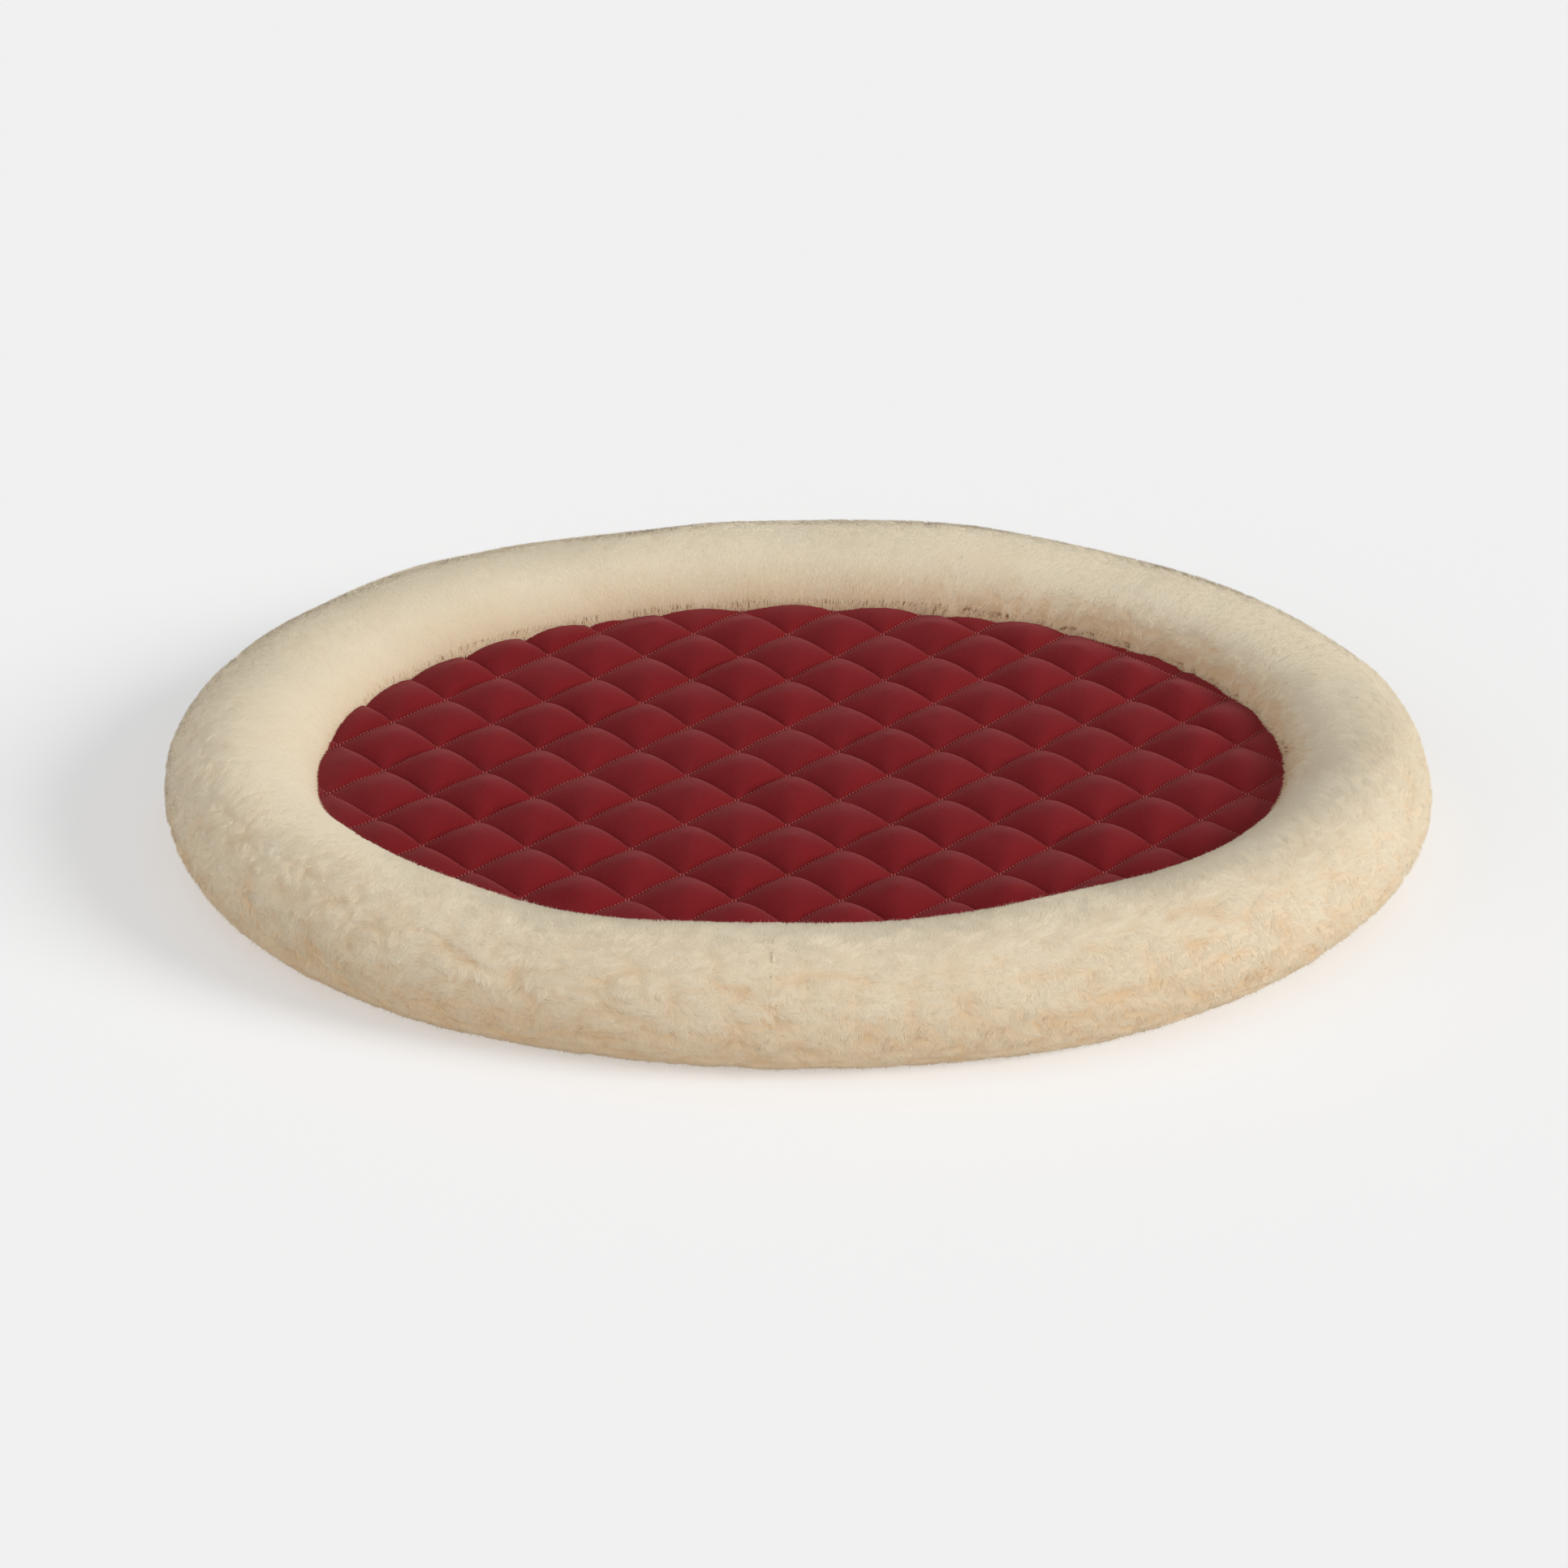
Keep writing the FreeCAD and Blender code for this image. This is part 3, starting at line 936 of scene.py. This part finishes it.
# Painted shade: the wool turns tan as its painted lit value falls, and brown-black where that value is
# lowest, at the foot of the wall by the panel.
lit = tree.nodes.new("ShaderNodeAttribute")
lit.attribute_name = "lit"
deepest_shade = tree.nodes.new("ShaderNodeMapRange")
deepest_shade.inputs["From Max"].default_value = 0.15
feed(tree, deepest_shade.inputs["Value"], lit.outputs["Fac"])
shade_tan = blend(tree, deepest_shade.outputs["Result"], (0.26, 0.14, 0.08), (0.62, 0.41, 0.225))
feed(tree, shader.inputs["Base Color"], blend(tree, lit.outputs["Fac"], shade_tan, cream))
relief(tree, noise(tree, place, 900.0, 2.0, 1.0), 0.35, 0.8 * MM)


def rest_height(points, phi, clear):
    """The lowest the wool can reach: the floor outside, the quilted panel inside."""
    panel = quilt_height(points[..., 0], points[..., 1])
    return np.where(phi > math.radians(120), panel, 0) + clear


def beside_panel(phi):
    """How near the foot of the inner wall, where the wool meets the panel and no light gets in."""
    return np.clip((phi - math.radians(161)) / math.radians(12), 0, 1)


def wool_band(place, first, last):
    """The dense wool under the tips: a closed band round the hide."""
    theta = even_angles(math.radians(first), math.radians(last), WOOL_GRID)
    phi = section_angles(INNER_EDGE, OUTER_EDGE, WOOL_GRID, UNDER_TIPS)
    tt, pp = np.meshgrid(theta, phi, indexing="ij")
    points, normals, _, _ = roll_points(tt, pp, UNDER_TIPS)
    raised, painted_shade = wool_relief(skin_place(tt, pp), curliness(tt, pp))
    points = points + normals * raised[..., None]
    points[..., 2] = np.maximum(points[..., 2], rest_height(points, pp, 0.4 * MM))
    ti, pi = np.meshgrid(theta, np.radians(np.linspace(OUTER_EDGE, 156, 24)), indexing="ij")
    bottom, top = HIDE_BOTTOM - OVER_HIDE, HIDE_TOP + OVER_HIDE
    out, up = outline(pi, HIDE_HALF_WIDTH + OVER_HIDE, bottom, top, HIDE_FULLNESS)
    x, y, _, _ = oval(ti, out)
    inner = np.stack([x, y, up], -1)
    piece = closed_band("wool_band_" + place, np.concatenate([points, inner], 1), fleece)
    # Painted shade: darker in the hollows and at the foot of the wall by the panel; the side against the
    # hide is painted in deep shade.
    lit = np.concatenate([0.88 - 0.7 * painted_shade - beside_panel(pp), np.full(inner.shape[:2], 0.3)], 1)
    paint(piece, lit)
    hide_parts("rim_wool_" + place)


MAP_ROWS = 64
JOINT_OVERLAP = 0.012
FIBRE_RADIUS = 0.16 * MM
TUFT_RADIUS = 0.42 * MM
LONGEST_TUFT = 8 * MM


def slim_points(name, roots, direction, ridge, length, radius, phi, shade, own_shade, lit, flat):
    """Three-sided points, each a few wool fibres together, as one mesh, with no face over their roots.
    Each has one edge on its upper side, towards the direction called ridge."""
    count = len(roots)
    side = ridge - direction * np.sum(ridge * direction, 1)[:, None]
    side /= np.maximum(np.linalg.norm(side, axis=1), 1e-9)[:, None]
    other = np.cross(direction, side)
    corners = []
    for turn in (0, 2 * np.pi / 3, 4 * np.pi / 3):
        corners.append(roots + (side * math.cos(turn) + other * math.sin(turn)) * radius)
    tips = roots + direction * length[:, None]
    tips[:, 2] = np.maximum(tips[:, 2], rest_height(tips, phi, 0.3 * MM))
    vertices = np.stack(corners + [tips], 1)
    outward = np.stack([(c - roots) / radius for c in corners] + [0 * roots], 1)
    sides = np.array(((0, 1, 3), (1, 2, 3), (2, 0, 3)))
    loops = 4 * np.arange(count)[:, None, None] + sides
    outward = outward[:, sides]
    outward[:, :, 2] = 0.5 * (outward[:, :, 0] + outward[:, :, 1]) + 0.3 * direction[:, None]
    shade = np.repeat(shade[:, None], 3, axis=2) + own_shade * outward
    shade[:, 1] = 0.25 * shade[:, 1] + direction[:, None] + 0.3 * own_shade * outward[:, 1]
    shade = shade / np.linalg.norm(shade, axis=3)[..., None]
    mesh = bpy.data.meshes.new(name)
    mesh.vertices.add(4 * count)
    mesh.vertices.foreach_set("co", vertices.astype(np.float32).ravel())
    mesh.loops.add(9 * count)
    mesh.loops.foreach_set("vertex_index", loops.astype(np.int32).ravel())
    mesh.polygons.add(3 * count)
    mesh.polygons.foreach_set("loop_start", np.arange(0, 9 * count, 3, dtype=np.int32))
    mesh.update(calc_edges=True)
    mesh.polygons.foreach_set("use_smooth", [True] * (3 * count))
    # The flat map has the wool's rows one above the other, each from its roots to its tips.
    width, row = 0.0012, 1 / MAP_ROWS
    spot = np.repeat(flat[:, None], 3, axis=1)
    spot = 0.002 + 0.996 * (spot + np.array(((-width, 0.1 * row), (width, 0.1 * row), (0, 0.9 * row))))
    spot = np.repeat(spot[:, None], 3, axis=1).astype(np.float32)
    mesh.uv_layers.new(name="OFBake")
    mesh.uv_layers["OFBake"].uv.foreach_set("vector", spot.ravel())
    mesh.normals_split_custom_set(shade.reshape(-1, 3).tolist())
    mesh.materials.append(fleece)
    piece = bpy.data.objects.new(name, mesh)
    scene.collection.objects.link(piece)
    root_lit, tip_lit = lit
    paint(piece, np.stack([root_lit, root_lit, root_lit, tip_lit], 1))
    # Light soaks through the thin tips, so they throw no hard shadow on each other.
    piece.visible_shadow = False
    piece.visible_diffuse = False
    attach(piece, "root")


def scatter(rng, first, last, phi_first, phi_last, per_mm2):
    """Random places on part of the roll, and the row and the place along it of each in the flat map."""
    theta_line = even_angles(math.radians(first) - JOINT_OVERLAP, math.radians(last) + JOINT_OVERLAP, MM)
    phi_line = section_angles(phi_first, phi_last, 0.5 * MM, UNDER_TIPS)
    count = int((len(theta_line) - 1) * (len(phi_line) - 1) * 0.5 * per_mm2)
    theta = np.interp(rng.uniform(0, len(theta_line) - 1, count), np.arange(len(theta_line)), theta_line)
    phi = np.interp(rng.uniform(0, len(phi_line) - 1, count), np.arange(len(phi_line)), phi_line)
    along = (theta - theta_line[0]) / (theta_line[-1] - theta_line[0])
    row = np.floor(MAP_ROWS * (phi - phi_line[-1]) / (phi_line[0] - phi_line[-1])) / MAP_ROWS
    return theta, phi, np.stack([along, row], 1)


def stray_fibres(name, first, last, phi_first, phi_last, per_mm2, seed):
    """Thin fibres that stand up out of the clipped wool, and reach over the panel at its edge."""
    rng = np.random.default_rng(seed)
    theta, phi, flat = scatter(rng, first, last, phi_first, phi_last, per_mm2)
    count = len(theta)
    roots, normals, along, over = roll_points(theta, phi, UNDER_TIPS)
    raised, painted_shade = wool_relief(skin_place(theta, phi), curliness(theta, phi))
    roots = roots + normals * (raised - 0.4 * MM)[:, None]
    roots[:, 2] = np.maximum(roots[:, 2], rest_height(roots, phi, 0.3 * MM))
    lean = rng.normal(size=(count, 1)) * along + rng.normal(size=(count, 1)) * over
    direction = normals + 0.45 * lean
    direction /= np.linalg.norm(direction, axis=1)[:, None]
    length = rng.uniform(1.5, 3.6, count) * MM
    # Painted shade: darker in the hollows, and by a random share beside the panel.
    lit = 0.95 - 0.5 * painted_shade - 0.4 * beside_panel(phi) * rng.uniform(0, 1, count)
    ridge = rng.normal(size=(count, 3))
    shade = normals[:, None]
    slim_points(name, roots, direction, ridge, length, FIBRE_RADIUS, phi, shade, 1.6, (lit, lit), flat)


def fleece_piece(name, first, last, phi_first, phi_last, per_mm2, seed):
    """Standing wool over part of the roll: slim three-sided points, each a few fibres together."""
    rng = np.random.default_rng(seed)
    theta, phi, flat = scatter(rng, first, last, phi_first, phi_last, per_mm2)
    count = len(theta)
    roots, normals, along, over = roll_points(theta, phi, UNDER_TIPS)
    place, curl = skin_place(theta, phi), curliness(theta, phi)
    raised, painted_shade = wool_relief(place, curl)
    near = 0.5 * MM
    slope_along = (wool_relief(place + np.array([near, 0]), curl)[0] - raised) / near
    slope_over = (wool_relief(place + np.array([0, near]), curl)[0] - raised) / near
    relief_normals = normals - slope_along[:, None] * along - slope_over[:, None] * over
    relief_normals /= np.linalg.norm(relief_normals, axis=1)[:, None]
    roots = roots + normals * (raised - 0.7 * MM)[:, None]
    roots[:, 2] = np.maximum(roots[:, 2], rest_height(roots, phi, 0.1 * MM))
    # The wool lies over in slow drifts. Within a lock it draws together and twists its own way.
    _, way, twist = nearest_lock(place, LARGE_LOCK, 40)
    _, small_way, small_twist = nearest_lock(place, SMALL_LOCK, 60)
    stray = rng.normal(size=(count, 3))
    drift = 0.3 + 0.8 * soft_noise(collar_place(place), (120 * MM, 120 * MM), 11, 2)
    tight = np.clip(curl, 0, 1)
    lean_along = np.sin(drift) * (1 - 0.7 * tight) + 0.3 * tight
    lean_over = np.cos(drift) * (1 - tight) - 0.7 * tight + 1.5 * np.clip(phi - 2.2, 0, 1)
    lean_along = lean_along + tight * (1.2 * way[:, 0] + 1.0 * twist[:, 0])
    lean_over = lean_over + tight * (1.2 * way[:, 1] + 0.6 * twist[:, 1])
    lean_along = lean_along + (0.15 + 0.6 * tight) * (small_way[:, 0] + small_twist[:, 0])
    lean_over = lean_over + (0.15 + 0.6 * tight) * (small_way[:, 1] + small_twist[:, 1])
    lean = lean_along[:, None] * along + lean_over[:, None] * over + 0.15 * stray
    lean -= normals * np.sum(lean * normals, 1)[:, None]
    lean /= np.maximum(np.linalg.norm(lean, axis=1), 1e-9)[:, None]
    upright = (0.25 + 0.27 * tight) * rng.uniform(0.8, 1.2, count)
    direction = normals * upright[:, None] + lean * np.sqrt(1 - upright**2)[:, None]
    underneath = np.clip(1.1 + 1.4 * np.sin(phi), 0.45, 1)
    length = (0.7 * MM + (1.2 + 1.6 * tight) * MM * rng.uniform(0.7, 1.1, count)) * underneath / upright
    length = np.minimum(length, LONGEST_TUFT)
    rough = 0.2 + 0.8 * tight
    shade = (relief_normals + 0.07 * rough[:, None] * stray)[:, None]
    # Painted shade: roots darker than tips, more so in the locks, the hollows and by the panel; tips by
    # the panel get a random share of it.
    root_lit = 0.92 - 0.22 * rough - 0.7 * painted_shade - beside_panel(phi)
    tip_lit = 0.97 - 0.45 * painted_shade - 0.5 * beside_panel(phi) * rng.uniform(0, 1, count)
    ridge = normals + 0.25 * stray
    lit = (root_lit, tip_lit)
    slim_points(name, roots, direction, ridge, length, TUFT_RADIUS, phi, shade, 0.7, lit, flat)


density = 1.1
for number, (place, (first, last)) in enumerate(SECTIONS.items()):
    wool_band(place, first, last)
    fleece_piece("wool_pile_crown_" + place, first, last, 174, 70, density, 100 + number)
    fleece_piece("wool_pile_flank_" + place, first, last, 70, -80, density, 200 + number)
    stray_fibres("wool_strays_" + place, first, last, 160, -60, 0.14, 300 + number)
    stray_fibres("wool_fringe_" + place, first, last, INNER_EDGE, 160, 0.9, 400 + number)
